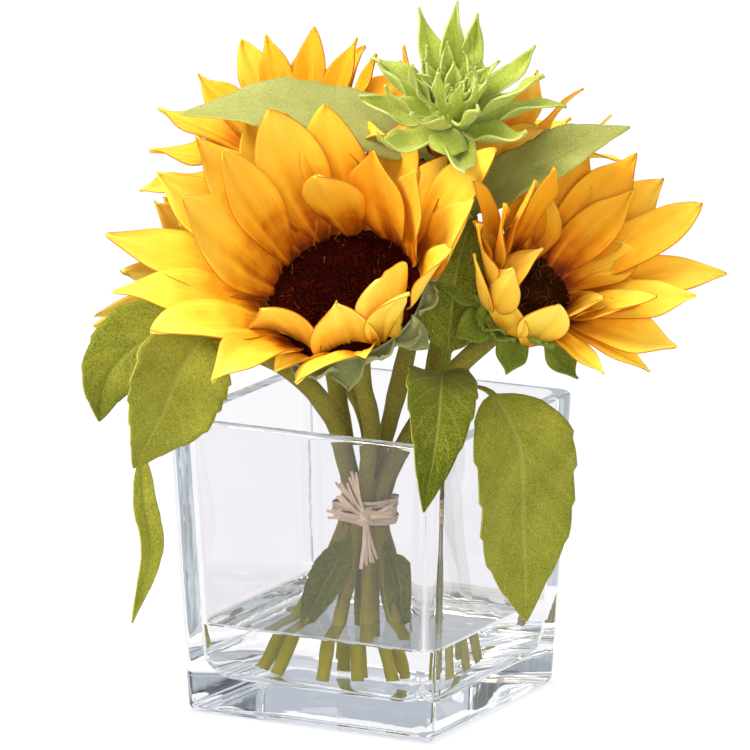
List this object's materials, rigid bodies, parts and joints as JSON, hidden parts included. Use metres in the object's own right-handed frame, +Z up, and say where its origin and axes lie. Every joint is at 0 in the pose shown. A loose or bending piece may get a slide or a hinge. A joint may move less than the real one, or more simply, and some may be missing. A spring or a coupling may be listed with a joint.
{
  "type": "sunflowers in a vase",
  "caption": "Bunch of open sunflowers with a bud and drooping leaves, tied with raffia in a heavy square glass vase with water.",
  "frame": {"origin": "middle of the vase's underside, on the surface it stands on", "axes": "+Z up; the vase's four sides face X and Y; the bunch's front lies 27.7 degrees round from -Y towards +X"},
  "size_m": [0.2464, 0.2338, 0.2778],
  "materials": {
    "glass": "clear, polished",
    "water": "clear, still",
    "petal": "soft cloth, brown at the edges",
    "dark_disc": "velvet",
    "disc": "velvet",
    "leaf": "flocked",
    "bud": "soft, matte",
    "raffia": "dry straw"
  },
  "bodies": {
    "root": {"vase": "glass", "water": "water", "raffia_tie": "raffia", "sunflower_1_petals": "petal", "sunflower_1_disc": "dark_disc", "sunflower_1_stem": "leaf", "sunflower_2_petals": "petal", "sunflower_2_disc": "disc", "sunflower_2_stem": "leaf", "sunflower_3_petals": "petal", "sunflower_3_disc": "disc", "sunflower_3_stem": "leaf", "sunflower_4_petals": "petal", "sunflower_4_disc": "disc", "sunflower_4_stem": "leaf", "sunflower_5_petals": "petal", "sunflower_5_disc": "disc", "sunflower_5_stem": "leaf", "leaf_sprig": "leaf", "bud_stem": "leaf", "bud_head": "bud"}
  },
  "joints": []
}
